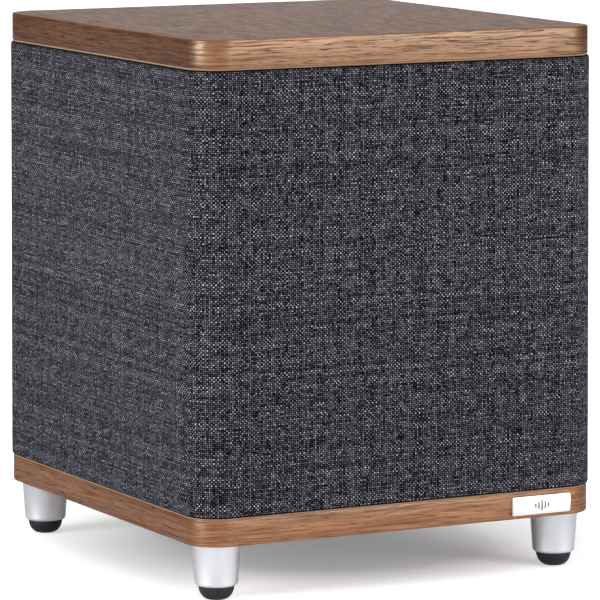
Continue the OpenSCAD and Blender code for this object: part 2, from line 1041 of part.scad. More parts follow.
module mains_inlet() {
  color([0.08, 0.08, 0.08])
    on_amp(inlet_x, inlet_z)
      difference() {
        union() {
          slab(inlet_w + 5, inlet_h + 5, 3, flange_t);
          block(inlet_w, inlet_h, -inlet_depth, inlet_depth + eps);
        }
        translate([0, -5.5, -inlet_depth + 3])
          slab(24.4, 16.4, 3, inlet_depth);
        translate([0, -drawer_z, 0])
          block(drawer_w + 0.4, drawer_h + 0.4, -drawer_l, drawer_l + flange_t + eps);
        for (x = [-1, 0, 1])
          translate([x * 7, x == 0 ? -8.5 : -4.5, 0])
            block(2.04, 4.04, -inlet_depth - eps, inlet_depth);
      }
}

// Three flat blades, seen inside the inlet
module inlet_pins() {
  color("gold")
    on_amp(inlet_x, inlet_z)
      for (x = [-1, 0, 1])
        translate([x * 7, x == 0 ? -8.5 : -4.5, 0])
          block(2, 4, -inlet_depth - 4, inlet_depth + 2);
}

module fuse_drawer() {
  color([0.14, 0.14, 0.14])
    on_amp(inlet_x, inlet_z)
      translate([0, -drawer_z, 0])
        difference() {
          union() {
            block(drawer_w, drawer_h, -drawer_l + 0.2, drawer_l + flange_t - 0.1);
            block(drawer_w + 2, drawer_h + 1, flange_t + 0.1, drawer_pull);
            block(10, 2, flange_t + 0.1, drawer_pull + 1);
          }
          block(fuse_l + 2 * seat, drawer_h + 1, fuse_depth, 2 * (fuse_r + seat));
        }
}

module fuse() {
  color("lightcyan")
    on_amp(inlet_x, inlet_z)
      translate([-fuse_l / 2, -drawer_z, fuse_depth + fuse_r + seat])
        rotate([0, 90, 0])
          cylinder(h = fuse_l, r = fuse_r);
}

module line_sockets() {
  color("gainsboro")
    for (x = socket_x)
      on_amp(x, socket_z)
        difference() {
          union() {
            block(14, 12, -control_board_y, control_board_y - plate_t3);
            translate([0, 0, -plate_t3 - eps])
              cylinder(h = plate_t3 + eps, r = 5);
            cylinder(h = 1.5, r = 6);
            cylinder(h = socket_l, r = socket_r);
          }
          translate([0, 0, socket_l - 8])
            cylinder(h = 9, r = 1.7);
        }
}

module status_light() {
  color("lightskyblue")
    on_amp(light_x, light_z) {
      translate([0, 0, -control_board_y])
        cylinder(h = control_board_y + 0.6, r = light_r);
      translate([0, 0, 0.6])
        intersection() {
          sphere(light_r);
          cylinder(h = light_r, r = light_r + 1);
        }
    }
}

translate([0, -box_centre_y, 0]) {
  top_panel();
  bottom_panel();
  front_board();
  rear_board();
  side_board(-1);  // left_board
  side_board(1);  // right_board
  corner_battens();
  cross_brace();
  top_dowels();
  base_screws();
  fabric_sleeve();
  wadding();
  feet();
  foot_studs();
  foot_inserts();
  foot_pads();
  badge();
  badge_inlay();
  basket();
  driver_gasket();
  trim_ring();
  driver_screws();
  surround();
  cone();
  dust_cap();
  spider();
  coil_former();
  voice_coil();
  top_plate();
  magnet();
  yoke();
  terminal_block();
  tinsel_leads();
  speaker_leads();
  amp_plate();
  amp_gasket();
  amp_screws();
  main_board();
  board_spacers();
  capacitors();
  transformer();
  heatsink();
  control_board();
  control_pots();
  shaft(level_x);  // level_shaft
  knob(level_x);  // level_knob
  shaft(crossover_x);  // crossover_shaft
  knob(crossover_x);  // crossover_knob
  switch_cases();
  slider(phase_x);  // phase_slider
  slider(mode_x);  // mode_slider
  mains_switch_case();
  mains_rocker();
  mains_inlet();
  inlet_pins();
  fuse_drawer();
  fuse();
  line_sockets();
  status_light();
}
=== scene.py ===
"""Looks of a compact powered subwoofer: walnut panels, woven wrap, metal feet, driver and rear controls."""

import json
import math

import bmesh
import bpy
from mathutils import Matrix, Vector, noise


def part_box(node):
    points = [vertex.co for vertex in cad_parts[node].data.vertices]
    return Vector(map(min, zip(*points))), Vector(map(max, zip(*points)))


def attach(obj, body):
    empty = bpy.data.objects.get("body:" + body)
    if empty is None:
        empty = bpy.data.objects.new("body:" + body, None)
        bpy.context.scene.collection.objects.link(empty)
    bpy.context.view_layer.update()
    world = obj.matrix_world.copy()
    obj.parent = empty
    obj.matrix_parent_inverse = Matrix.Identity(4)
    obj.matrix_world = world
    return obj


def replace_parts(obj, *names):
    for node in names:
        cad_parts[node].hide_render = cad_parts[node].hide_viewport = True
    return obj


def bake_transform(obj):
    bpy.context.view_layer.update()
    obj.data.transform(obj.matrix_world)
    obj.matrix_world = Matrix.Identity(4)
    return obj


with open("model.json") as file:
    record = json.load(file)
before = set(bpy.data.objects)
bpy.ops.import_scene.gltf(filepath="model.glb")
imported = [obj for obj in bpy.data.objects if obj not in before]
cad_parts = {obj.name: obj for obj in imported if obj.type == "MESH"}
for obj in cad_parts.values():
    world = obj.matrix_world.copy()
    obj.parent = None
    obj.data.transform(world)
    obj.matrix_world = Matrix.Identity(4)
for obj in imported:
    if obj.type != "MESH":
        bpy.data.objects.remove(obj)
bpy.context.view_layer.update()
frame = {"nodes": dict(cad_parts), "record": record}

MM = 0.001
CORNER_R = 20 * MM
ARC_CUTS = 14  # cuts of each rounded corner
LATHE_CUTS = 96  # cuts of a turned piece
WELD_GAP = 0.001 * MM  # points of a mesh that are closer than this are one

# Centre of the top panel, which lies on the cabinet's upright axis, and the size of the outline
panel_low, panel_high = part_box("top_panel")
AXIS = (panel_low + panel_high) / 2
WIDTH = panel_high.x - panel_low.x
DEPTH = panel_high.y - panel_low.y


# ---------------------------------------------------------------- shader helpers


class Shader:
    """One node material. The helpers add nodes and return output sockets."""

    def __init__(self, name):
        self.material = bpy.data.materials.new(name)
        self.material.use_nodes = True
        self.tree = self.material.node_tree
        self.surface = self.tree.nodes["Principled BSDF"]

    def put(self, socket, value):
        """Links a socket, or sets a plain value or colour."""
        if isinstance(value, bpy.types.NodeSocket):
            self.tree.links.new(value, socket)
        elif isinstance(value, tuple) and socket.type == "RGBA":
            socket.default_value = (*value[:3], 1)
        else:
            socket.default_value = value

    def set(self, **values):
        """Sets inputs of the surface; an underscore in a keyword stands for a space."""
        for key, value in values.items():
            self.put(self.surface.inputs[key.replace("_", " ")], value)
        return self.material

    def math(self, operation, *values):
        """A number worked out from others by one of Blender's math operations."""
        node = self.tree.nodes.new("ShaderNodeMath")
        node.operation = operation
        for socket, value in zip(node.inputs, values):
            self.put(socket, value)
        return node.outputs[0]

    def mix(self, factor, a, b):
        """Colour a where the factor is 0 and colour b where it is 1."""
        node = self.tree.nodes.new("ShaderNodeMix")
        node.data_type = "RGBA"
        for name, value in (("Factor_Float", factor), ("A_Color", a), ("B_Color", b)):
            socket = next(s for s in node.inputs if s.identifier == name)
            self.put(socket, value)
        return next(s for s in node.outputs if s.identifier == "Result_Color")

    def scaled(self, colour, factor):
        """A colour times a grey factor."""
        node = self.tree.nodes.new("ShaderNodeVectorMath")
        node.operation = "SCALE"
        self.put(node.inputs[0], colour)
        self.put(node.inputs["Scale"], factor)
        return node.outputs[0]

    def tinted(self, colour, tint):
        """A colour times another, channel by channel."""
        node = self.tree.nodes.new("ShaderNodeVectorMath")
        node.operation = "MULTIPLY"
        self.put(node.inputs[0], colour)
        self.put(node.inputs[1], tint)
        return node.outputs[0]

    def place(self):
        """Place on the object, in metres; it moves with the body."""
        return self.tree.nodes.new("ShaderNodeTexCoord").outputs["Object"]

    def split(self, vector):
        node = self.tree.nodes.new("ShaderNodeSeparateXYZ")
        self.put(node.inputs[0], vector)
        return node.outputs

    def join(self, x, y, z=0.0):
        node = self.tree.nodes.new("ShaderNodeCombineXYZ")
        for socket, value in zip(node.inputs, (x, y, z)):
            self.put(socket, value)
        return node.outputs[0]

    def surface_map(self):
        """The mesh's own map in metres: along and across the grain or the threads."""
        node = self.tree.nodes.new("ShaderNodeUVMap")
        node.uv_map = "map"
        return self.split(node.outputs[0])

    def noise(self, vector, scale=1.0, detail=2.0, roughness=0.5):
        """Soft noise about 0.5, with features about one over the scale in size."""
        node = self.tree.nodes.new("ShaderNodeTexNoise")
        self.put(node.inputs["Vector"], vector)
        self.put(node.inputs["Scale"], scale)
        self.put(node.inputs["Detail"], detail)
        self.put(node.inputs["Roughness"], roughness)
        return node.outputs["Fac"]

    def chance(self, value):
        """A number from 0 to 1 that is fixed for each whole value."""
        node = self.tree.nodes.new("ShaderNodeTexWhiteNoise")
        node.noise_dimensions = "1D"
        self.put(node.inputs["W"], value)
        return node.outputs["Value"]

    def span(self, value, low, high, to_low=0.0, to_high=1.0):
        """A value between low and high, mapped to between to_low and to_high and held at both ends."""
        node = self.tree.nodes.new("ShaderNodeMapRange")
        for socket, item in zip(node.inputs, (value, low, high, to_low, to_high)):
            self.put(socket, item)
        return node.outputs[0]

    def bump(self, height, distance, strength):
        """Relief of the surface; the distance is the height of 1 in metres."""
        node = self.tree.nodes.new("ShaderNodeBump")
        self.put(node.inputs["Height"], height)
        node.inputs["Distance"].default_value = distance
        node.inputs["Strength"].default_value = strength
        self.put(self.surface.inputs["Normal"], node.outputs[0])


# ---------------------------------------------------------------- materials

PALE_WOOD = (0.322, 0.140, 0.061)
DARK_WOOD = (0.124, 0.044, 0.018)
LINE_WOOD = (0.092, 0.032, 0.014)
PORE_WOOD = (0.045, 0.018, 0.010)
POLISH_TINT = (1.0, 0.84, 0.62)
GRAIN_STRAY = 4 * MM  # how far the grain strays to either side
# Length along the grain and width across it of what the wood shows
BANDS = (300 * MM, 10 * MM)
STREAKS = (50 * MM, 1.9 * MM)
LINES = (35 * MM, 1.0 * MM)
PORES = (14 * MM, 0.9 * MM)
# Painted shade on the left and right edges fades in between these values of how far a face looks to the
# right
LEFT_TURN = (-0.99, -0.78)
RIGHT_TURN = (0.10, 0.50)


def walnut(name, shade, painted_side_shade, tint, fineness):
    """Oiled walnut veneer: broad bands, fine streaks and dark lines along the grain, and short pores.

    shade and tint set its tone, and painted_side_shade is painted shade on its left and right edges, which
    are made darker and less glossy.
    """
    s = Shader(name)
    along, across, _ = s.surface_map()
    wander = s.math("MULTIPLY", s.noise(s.join(along, across), 14, 2), GRAIN_STRAY)
    across = s.math("ADD", across, wander)

    def grain(length, width):
        return s.join(s.math("MULTIPLY", along, 1 / length), s.math("MULTIPLY", across, fineness / width))

    bands = s.noise(grain(*BANDS), 1, 2)
    streaks = s.noise(grain(*STREAKS), 1, 3, 0.7)
    lines = s.noise(grain(*LINES), 1, 2, 0.6)
    pores = s.noise(grain(*PORES), 1, 2, 0.65)
    tone = s.math("ADD", s.math("MULTIPLY", bands, 0.35), s.math("MULTIPLY", streaks, 0.65))
    colour = s.mix(s.span(tone, 0.38, 0.62), DARK_WOOD, PALE_WOOD)
    colour = s.mix(s.span(lines, 0.49, 0.66, 0.0, 0.66), colour, LINE_WOOD)
    pore = s.span(pores, 0.57, 0.66)
    colour = s.mix(s.math("MULTIPLY", pore, 0.55), colour, PORE_WOOD)
    s.bump(s.math("SUBTRACT", streaks, pore), 0.11 * MM, 0.6)
    # Painted shade: the left and right edges are darker and less glossy than the front, standing in for how
    # the light falls on them
    facing_right = s.split(s.tree.nodes.new("ShaderNodeNewGeometry").outputs["Normal"])[0]
    side = s.span(facing_right, *LEFT_TURN, painted_side_shade, 1.0)
    side = s.math("MULTIPLY", side, s.span(facing_right, *RIGHT_TURN, 1.0, painted_side_shade))
    dull = s.math("MAXIMUM", pore, s.span(lines, 0.50, 0.66, 0.0, 0.7))
    return s.set(
        Base_Color=s.scaled(s.tinted(colour, tint), s.math("MULTIPLY", side, shade)),
        Roughness=s.span(dull, 0.0, 1.0, 0.34, 0.66),
        Specular_IOR_Level=s.math("MULTIPLY", side, s.span(dull, 0.0, 1.0, 1.0, 0.18)),
        Specular_Tint=POLISH_TINT,
    )


WARP_PITCH = 1.27 * MM
WEFT_PITCH = 1.20 * MM
WOBBLE = 0.45  # how far the threads stray, in pitches
SLUBS = 105  # changes of thickness along a metre of thread
WARP_TONES = (-0.010, 0.105)  # brightness of the darkest and the palest threads
WEFT_TONES = (0.022, 0.275)
FLECK_TONES = (0.10, 1.95)  # factors of the darkest and the palest crossings
THREAD_RELIEF = 0.15 * MM
PAINTED_EDGE_SHADE = (0.6 * MM, 1.5 * MM)  # from the upper and lower edges; painted shade makes the cloth dark within the first, where it turns in under the panels
CLOTH_COLOUR = (0.645, 0.635, 0.755)
CLOTH_SHEEN = (0.74, 0.84, 1.0)


def wrap_fabric(name):
    """Plain weave of dark warp and lighter weft, with slubs along both and a hairy sheen."""
    s = Shader(name)
    along, up, _ = s.surface_map()

    def wobble(seed):
        return s.math("MULTIPLY", s.noise(s.join(along, up, seed), 650, 0), WOBBLE)

    u = s.math("ADD", s.math("DIVIDE", along, WARP_PITCH), wobble(1.0))
    v = s.math("ADD", s.math("DIVIDE", up, WEFT_PITCH), wobble(2.0))
    column = s.math("FLOOR", u)
    row = s.math("FLOOR", v)

    def thread_tone(index, length, seed, tones):
        """Tone of one thread: its own shade, with paler slubs about a centimetre long."""
        own = s.chance(s.math("ADD", index, seed))
        place = s.join(s.math("MULTIPLY", index, 7.31), s.math("MULTIPLY", length, SLUBS), seed)
        slub = s.noise(place, 1, 2)
        tone = s.math("ADD", s.math("MULTIPLY", own, 0.55), s.span(slub, 0.40, 0.64, 0.0, 0.60))
        return s.span(tone, 0.0, 1.0, *tones)

    def fleck(across, along_thread, seed):
        """Paler and darker crossings along one thread."""
        place = s.join(s.math("MULTIPLY", across, 5.3), s.math("MULTIPLY", along_thread, 1.6), seed)
        return s.span(s.noise(place, 1, 0), 0.25, 0.75, *FLECK_TONES)

    warp = s.math("MULTIPLY", thread_tone(column, up, 11.0, WARP_TONES), fleck(column, row, 3.0))
    weft = s.math("MULTIPLY", thread_tone(row, along, 47.0, WEFT_TONES), fleck(row, column, 8.0))
    crossing = s.math("PINGPONG", s.math("ADD", column, row), 1.0)
    warp = s.math("MULTIPLY", warp, s.math("SUBTRACT", 1.0, crossing))
    tone = s.math("ADD", s.math("MULTIPLY", weft, crossing), warp)

    def round_over(position):
        """Height across a thread: 0 at its edges and 1 along its middle."""
        centred = s.math("SUBTRACT", s.math("FRACT", position), 0.5)
        fall = s.math("MULTIPLY", s.math("MULTIPLY", centred, centred), 4.0)
        return s.math("SUBTRACT", 1.0, fall)

    height = s.math("MULTIPLY", round_over(u), round_over(v))
    # Painted shade and highlight of the weave's relief: the cloth goes dark at each thread's edges and paler
    # along its middle
    tone = s.math("MULTIPLY", tone, s.span(height, 0.28, 0.92, 0.0, 2.05))
    low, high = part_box("fabric_sleeve")
    from_edge = s.math("MINIMUM", s.math("SUBTRACT", up, low.z), s.math("SUBTRACT", high.z, up))
    # Painted shade: the cloth fades to near black at its upper and lower edges, in the gaps under the panels
    tone = s.math("MULTIPLY", tone, s.span(from_edge, *PAINTED_EDGE_SHADE, 0.04, 1.0))
    s.bump(height, THREAD_RELIEF, 0.5)
    return s.set(
        Base_Color=s.scaled(CLOTH_COLOUR, tone),
        Roughness=0.9,
        Specular_IOR_Level=0.08,
        Sheen_Weight=0.07,
        Sheen_Roughness=0.35,
        Sheen_Tint=CLOTH_SHEEN,
    )


def metal(name, colour, roughness, grain, direction=(1, 1, 1), metallic=1.0):
    """Metal with a fine brushed or blasted grain, its scale per metre in each direction."""
    s = Shader(name)
    stretched = s.join(*(s.math("MULTIPLY", a, grain * d) for a, d in zip(s.split(s.place()), direction)))
    brush = s.noise(stretched, 1, 3, 0.6)
    cloud = s.noise(s.place(), 40, 2)
    s.bump(brush, 0.02 * MM, 0.35)
    return s.set(
        Base_Color=s.scaled(colour, s.span(cloud, 0.3, 0.7, 0.94, 1.04)),
        Roughness=s.span(brush, 0.3, 0.7, roughness - 0.05, roughness + 0.07),
        Metallic=metallic,
    )


def moulded(name, colour, roughness=0.5, texture=1800, depth=0.03 * MM, specular=0.5):
    """Moulded plastic, rubber or paint with a fine even texture and faint handling wear."""
    s = Shader(name)
    grain = s.noise(s.place(), texture, 2)
    cloud = s.noise(s.place(), 55, 3)
    s.bump(grain, depth, 0.6)
    return s.set(
        Base_Color=s.scaled(colour, s.span(cloud, 0.3, 0.7, 0.88, 1.12)),
        Roughness=s.span(cloud, 0.3, 0.7, roughness - 0.06, roughness + 0.08),
        Specular_IOR_Level=specular,
    )


def fibrous(name, colour, length, across, spread, roughness=0.85):
    """Board, softwood, pulp or fibre with long flecks. length and across are their scale per metre."""
    s = Shader(name)
    scales = (across, length, across)
    flecks = s.noise(s.join(*(s.math("MULTIPLY", a, k) for a, k in zip(s.split(s.place()), scales))), 1, 3)
    cloud = s.noise(s.place(), 90, 3)
    tone = s.math("ADD", s.math("MULTIPLY", flecks, 0.6), s.math("MULTIPLY", cloud, 0.4))
    s.bump(flecks, 0.08 * MM, 0.6)
    return s.set(
        Base_Color=s.scaled(colour, s.span(tone, 0.35, 0.65, 1 - spread, 1 + spread)),
        Roughness=roughness,
        Specular_IOR_Level=0.25,
    )


def woven(name, colour, pitch):
    """Small technical cloth, such as the spider's, from two crossing waves."""
    s = Shader(name)
    x, y, _ = s.split(s.place())

    def wave(a):
        return s.math("ABSOLUTE", s.math("SINE", s.math("MULTIPLY", a, math.pi / pitch)))

    height = s.math("MULTIPLY", wave(x), wave(y))
    s.bump(height, 0.1 * MM, 0.7)
    # Painted shade and highlight of the weave's relief: darker in the hollows between threads and paler on
    # their crowns
    return s.set(
        Base_Color=s.scaled(colour, s.span(height, 0.0, 1.0, 0.55, 1.15)),
        Roughness=0.85,
        Specular_IOR_Level=0.2,
    )


def clear(name, colour, glow=0.0):
    """Glass or a tinted lens."""
    s = Shader(name)
    ripple = s.noise(s.place(), 300, 1)
    s.bump(ripple, 0.02 * MM, 0.2)
    return s.set(
        Base_Color=colour,
        Roughness=0.08,
        Transmission_Weight=0.8,
        IOR=1.48,
        Emission_Color=colour,
        Emission_Strength=glow,
    )


TRACK_PITCH = 1.6 * MM
MASK_GREEN = (0.008, 0.085, 0.035)
TRACK_GREEN = (0.03, 0.19, 0.07)


def circuit_board(name):
    """Solder mask with paler copper tracks under it."""
    s = Shader(name)
    x, _, z = s.split(s.place())
    lines = s.math("PINGPONG", s.math("MULTIPLY", s.math("ADD", x, z), 1 / TRACK_PITCH), 1.0)
    patch = s.span(s.noise(s.place(), 160, 1), 0.48, 0.52)
    track = s.math("MULTIPLY", s.math("GREATER_THAN", lines, 0.6), patch)
    s.bump(track, 0.04 * MM, 0.5)
    return s.set(Base_Color=s.mix(track, MASK_GREEN, TRACK_GREEN), Roughness=0.32)


# Each material: what makes it, its name, and the values of what makes it
FINISHES = (
    # The walnut values: tone, painted shade of the left and right edges, tint and fineness
    (walnut, "walnut", 1.0, 0.42, (1, 1, 1), 1.0),
    (walnut, "base_walnut", 1.16, 0.60, (1.04, 0.96, 0.92), 1.25),
    (wrap_fabric, "wrap_fabric"),
    (fibrous, "fibreboard", (0.33, 0.22, 0.13), 2400, 2400, 0.18),
    (fibrous, "softwood", (0.62, 0.44, 0.26), 60, 1400, 0.22, 0.7),
    (fibrous, "fibre_wadding", (0.72, 0.72, 0.70), 700, 900, 0.25, 0.95),
    (fibrous, "cone_paper", (0.020, 0.020, 0.022), 700, 900, 0.45, 0.75),
    (fibrous, "cap_paper", (0.014, 0.014, 0.015), 900, 900, 0.3, 0.45),
    (fibrous, "former_paper", (0.50, 0.36, 0.19), 300, 1600, 0.15, 0.6),
    (woven, "spider_cloth", (0.50, 0.33, 0.10), 0.7 * MM),
    (metal, "black_steel", (0.03, 0.03, 0.032), 0.42, 900, (1, 1, 1), 0.6),
    (metal, "satin_aluminium", (0.89, 0.905, 0.93), 0.36, 1500, (0.2, 0.2, 3)),
    (metal, "badge_aluminium", (0.93, 0.93, 0.94), 0.40, 1600, (0.1, 1, 3), 0.55),
    (metal, "plate_aluminium", (0.022, 0.022, 0.024), 0.38, 1400, (0.04, 1, 2), 0.7),
    (metal, "zinc_steel", (0.66, 0.66, 0.63), 0.32, 900),
    (metal, "nickel_plate", (0.74, 0.71, 0.66), 0.18, 1200),
    (metal, "brass", (0.72, 0.50, 0.20), 0.28, 900),
    (metal, "copper_wire", (0.72, 0.30, 0.14), 0.30, 2400, (0.1, 0.1, 2)),
    (moulded, "ferrite", (0.045, 0.045, 0.048), 0.62, 1100, 0.06 * MM),
    (moulded, "black_rubber", (0.012, 0.012, 0.014), 0.50, 1500, 0.03 * MM, 0.35),
    (moulded, "surround_rubber", (0.014, 0.014, 0.015), 0.38, 900),
    (moulded, "black_inlay", (0.045, 0.045, 0.05), 0.40),
    (moulded, "frame_black", (0.018, 0.018, 0.020), 0.48, 700, 0.05 * MM),
    (moulded, "foam_gasket", (0.035, 0.035, 0.037), 0.95, 1300, 0.2 * MM, 0.2),
    (moulded, "trim_plastic", (0.016, 0.016, 0.017), 0.34),
    (moulded, "black_plastic", (0.020, 0.020, 0.021), 0.46),
    (moulded, "wire_jacket", (0.30, 0.015, 0.012), 0.4),
    (moulded, "capacitor_sleeve", (0.012, 0.014, 0.035), 0.28),
    (moulded, "knob_plastic", (0.017, 0.017, 0.018), 0.40, 1500, 0.02 * MM),
    (moulded, "rocker_plastic", (0.012, 0.012, 0.013), 0.25),
    (circuit_board, "circuit_board"),
    (clear, "fuse_glass", (0.85, 0.90, 0.90)),
    (clear, "light_lens", (0.35, 0.62, 1.0), 0.6),
    (moulded, "dial_paint", (0.72, 0.72, 0.70), 0.5),
    (moulded, "white_insulator", (0.74, 0.73, 0.70), 0.4),
    (moulded, "red_insulator", (0.42, 0.018, 0.014), 0.4),
)

MATERIALS = {name: make(name, *values) for make, name, *values in FINISHES}


# ---------------------------------------------------------------- mesh helpers


def piece(name, points, faces, slot, *, sharp, body="cabinet", maps=None, material=None):
    """A mesh piece from points and faces, riding on a body, in its slot's material unless one is named.

    Edges that turn by more than sharp degrees are crisp.
    """
    mesh = bpy.data.meshes.new(name)
    mesh.from_pydata(points, [], faces)
    if maps:
        layer = mesh.uv_layers.new(name="map")
        layer.data.foreach_set("uv", [value for corner in maps for value in corner])
    mesh.materials.append(MATERIALS[material or slot])
    mesh.polygons.foreach_set("use_smooth", [True] * len(mesh.polygons))
    mesh.set_sharp_from_angle(angle=math.radians(sharp))
    mesh.update()
    made = bpy.data.objects.new(name, mesh)
    bpy.context.scene.collection.objects.link(made)
    if body:
        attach(made, body)
    return made


def spread(start, end, step):
    """Even values from start up to but not including end, at most a step apart."""
    count = max(1, math.ceil(abs(end - start) / step))
    return [start + (end - start) * i / count for i in range(count)]


def outline(width, depth, radius, step, rear_cut=None):
    """Rounded rectangle round the cabinet's axis, anticlockwise from above, from the middle of the back.

    With rear_cut, the back also has a point at that distance to each side of its middle.
    """
    side_x = width / 2 - radius
    side_y = depth / 2 - radius
    rear = spread(0, side_x, step)
    if rear_cut:
        rear = spread(0, rear_cut, step) + spread(rear_cut, side_x, step)
    rear.append(side_x)
    points = [(-x, depth / 2) for x in rear[:-1]]
    sides = [
        (-side_x, side_y, 90, [(-width / 2, y) for y in spread(side_y, -side_y, step)]),
        (-side_x, -side_y, 180, [(x, -depth / 2) for x in spread(-side_x, side_x, step)]),
        (side_x, -side_y, 270, [(width / 2, y) for y in spread(-side_y, side_y, step)]),
        (side_x, side_y, 0, [(x, depth / 2) for x in reversed(rear[1:])]),
    ]
    for x, y, start, straight in sides:
        for i in range(ARC_CUTS):
            angle = math.radians(start + 90 * i / ARC_CUTS)
            points.append((x + radius * math.cos(angle), y + radius * math.sin(angle)))
        points += straight
    return [(AXIS.x + x, AXIS.y + y) for x, y in points]


def lengths(points):
    """Distance along a closed outline to each point, and its whole length last."""
    total = [0.0]
    for (x0, y0), (x1, y1) in zip(points, points[1:] + points[:1]):
        total.append(total[-1] + math.hypot(x1 - x0, y1 - y0))
    return total


def circle(centre, radius, height, angles):
    """Points on a level circle at some angles."""
    return [(centre.x + radius * math.cos(a), centre.y + radius * math.sin(a), height) for a in angles]


def quad(row, above, column, count):
    """Corners of the face between two rows of points, from one column to the next."""
    k = (column + 1) % count
    return [row * count + column, row * count + k, above * count + k, above * count + column]


def lathe(name, centre, profile, slot, sharp):
    """A turned piece about an upright line, from (radius, height) points; a radius of 0 closes an end."""
    angles = [math.tau * i / LATHE_CUTS for i in range(LATHE_CUTS)]
    points = []
    rings = []
    for radius, height in profile:
        if radius == 0:
            rings.append([len(points)] * LATHE_CUTS)
            points.append((centre.x, centre.y, height))
        else:
            rings.append(range(len(points), len(points) + LATHE_CUTS))
            points += circle(centre, radius, height, angles)
    faces = []
    for low, high in zip(rings, rings[1:]):
        for i in range(LATHE_CUTS):
            k = (i + 1) % LATHE_CUTS
            corners = [low[i], low[k], high[k], high[i]]
            faces.append(list(dict.fromkeys(corners)))
    return piece(name, points, faces, slot, sharp=sharp)


def islands(node):
    """The boxes of a node's separate solids, as (lowest corner, highest corner), in order of place."""
    mesh = bmesh.new()
    mesh.from_mesh(frame["nodes"][node].data)
    bmesh.ops.remove_doubles(mesh, verts=mesh.verts, dist=WELD_GAP)
    left = set(mesh.verts)
    boxes = []
    while left:
        stack = [left.pop()]
        found = []
        while stack:
            vertex = stack.pop()
            found.append(vertex.co.copy())
            for edge in vertex.link_edges:
                other = edge.other_vert(vertex)
                if other in left:
                    left.remove(other)
                    stack.append(other)
        low = Vector(min(p[i] for p in found) for i in range(3))
        high = Vector(max(p[i] for p in found) for i in range(3))
        boxes.append((low, high))
    mesh.free()
    return sorted(boxes, key=lambda box: tuple(round(value, 5) for value in box[0]))


def arc(radius, start, end, cuts):
    """Points of an arc about (0, 0), from one angle to another in degrees, both ends included."""
    angles = [math.radians(start + (end - start) * i / cuts) for i in range(cuts + 1)]
    return [(radius * math.cos(a), radius * math.sin(a)) for a in angles]


# ---------------------------------------------------------------- walnut panels

TOP_EDGE = 0.8 * MM
BASE_EDGE = 1.5 * MM
SLIGHT_EDGE = 0.4 * MM
SUPPORT = 1.0 * MM  # flat strip inside a rounded edge, which keeps the flat face's shading even
PANEL_STEP = 12 * MM
EDGE_CUTS = 4


def panel_ring(inset, z):
    """The panels' outline at a height, drawn in from every side by an inset."""
    line = outline(WIDTH - 2 * inset, DEPTH - 2 * inset, CORNER_R - inset, PANEL_STEP)
    return [(x, y, z) for x, y in line]


def panel_rings(low_z, high_z, low_edge, high_edge):
    """Rings from the underside to the top, over both rounded edges."""
    low_arc = arc(low_edge, 270, 360, EDGE_CUTS)
    high_arc = arc(high_edge, 0, 90, EDGE_CUTS)
    rings = [panel_ring(low_edge + SUPPORT, low_z)]
    rings += [panel_ring(low_edge - across, low_z + low_edge + up) for across, up in low_arc]
    rings += [panel_ring(high_edge - across, high_z - high_edge + up) for across, up in high_arc]
    rings.append(panel_ring(high_edge + SUPPORT, high_z))
    return rings


def veneer_map(points, corners, edge):
    """Where a face's corners lie on the veneer: along and up its sides, or back and across on the flat."""
    rise = abs(points[corners[2]][2] - points[corners[1]][2])
    run = math.dist(points[corners[2]][:2], points[corners[1]][:2])
    if rise > run:
        return [(along, points[c][2]) for along, c in zip(edge, corners)]
    return [(points[c][1], points[c][0]) for c in corners]


def panel(name, node, material, low_edge, high_edge, holes=()):
    """A board with rounded corners and edges. holes are (radius, height) rings from underside to top."""
    low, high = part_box(node)
    rings = panel_rings(low.z, high.z, low_edge, high_edge)
    count = len(rings[0])
    along = lengths([(x, y) for x, y, _ in rings[1 + EDGE_CUTS // 2]])
    angles = [math.atan2(y - AXIS.y, x - AXIS.x) for x, y, _ in rings[0]]
    rings += [circle(AXIS, radius, height, angles) for radius, height in reversed(holes)]
    points = [point for ring in rings for point in ring]
    faces = []
    maps = []
    for j in range(len(rings) if holes else len(rings) - 1):
        for i in range(count):
            corners = quad(j, (j + 1) % len(rings), i, count)
            edge = (along[i], along[i + 1], along[i + 1], along[i])
            faces.append(corners)
            maps += veneer_map(points, corners, edge)
    if not holes:
        last = len(points) - count
        for cap in (list(reversed(range(count))), list(range(last, last + count))):
            faces.append(cap)
            maps += [(points[c][1], points[c][0]) for c in cap]
    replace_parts(piece(name, points, faces, "walnut", maps=maps, sharp=35, material=material), node)


basket_low, basket_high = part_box("basket")
base_low, base_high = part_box("bottom_panel")
CUTOUT_R = 93 * MM
RECESS_GAP = 0.5 * MM
RECESS_DEPTH = 6 * MM
RECESS_R = (basket_high.x - basket_low.x) / 2 + RECESS_GAP
RECESS_Z = base_low.z + RECESS_DEPTH

driver_hole = [(RECESS_R, base_low.z), (RECESS_R, RECESS_Z), (CUTOUT_R, RECESS_Z), (CUTOUT_R, base_high.z)]

panel("top_panel_walnut", "top_panel", "walnut", SLIGHT_EDGE, TOP_EDGE)
panel("base_panel_walnut", "bottom_panel", "base_walnut", BASE_EDGE, SLIGHT_EDGE, driver_hole)


# ---------------------------------------------------------------- woven wrap

ROLL_R = 1.35 * MM  # how far the cloth turns in at its upper and lower edges
ROLL_H = 2.2 * MM  # the height over which it does so
CLOTH_T = 1.45 * MM
CLOTH_STEP = 2.4 * MM
PLATE_LAP = 10 * MM  # how far the amplifier plate covers the edge of the opening
SLUB_RELIEF = 0.10 * MM
ROLL_CUTS = 6


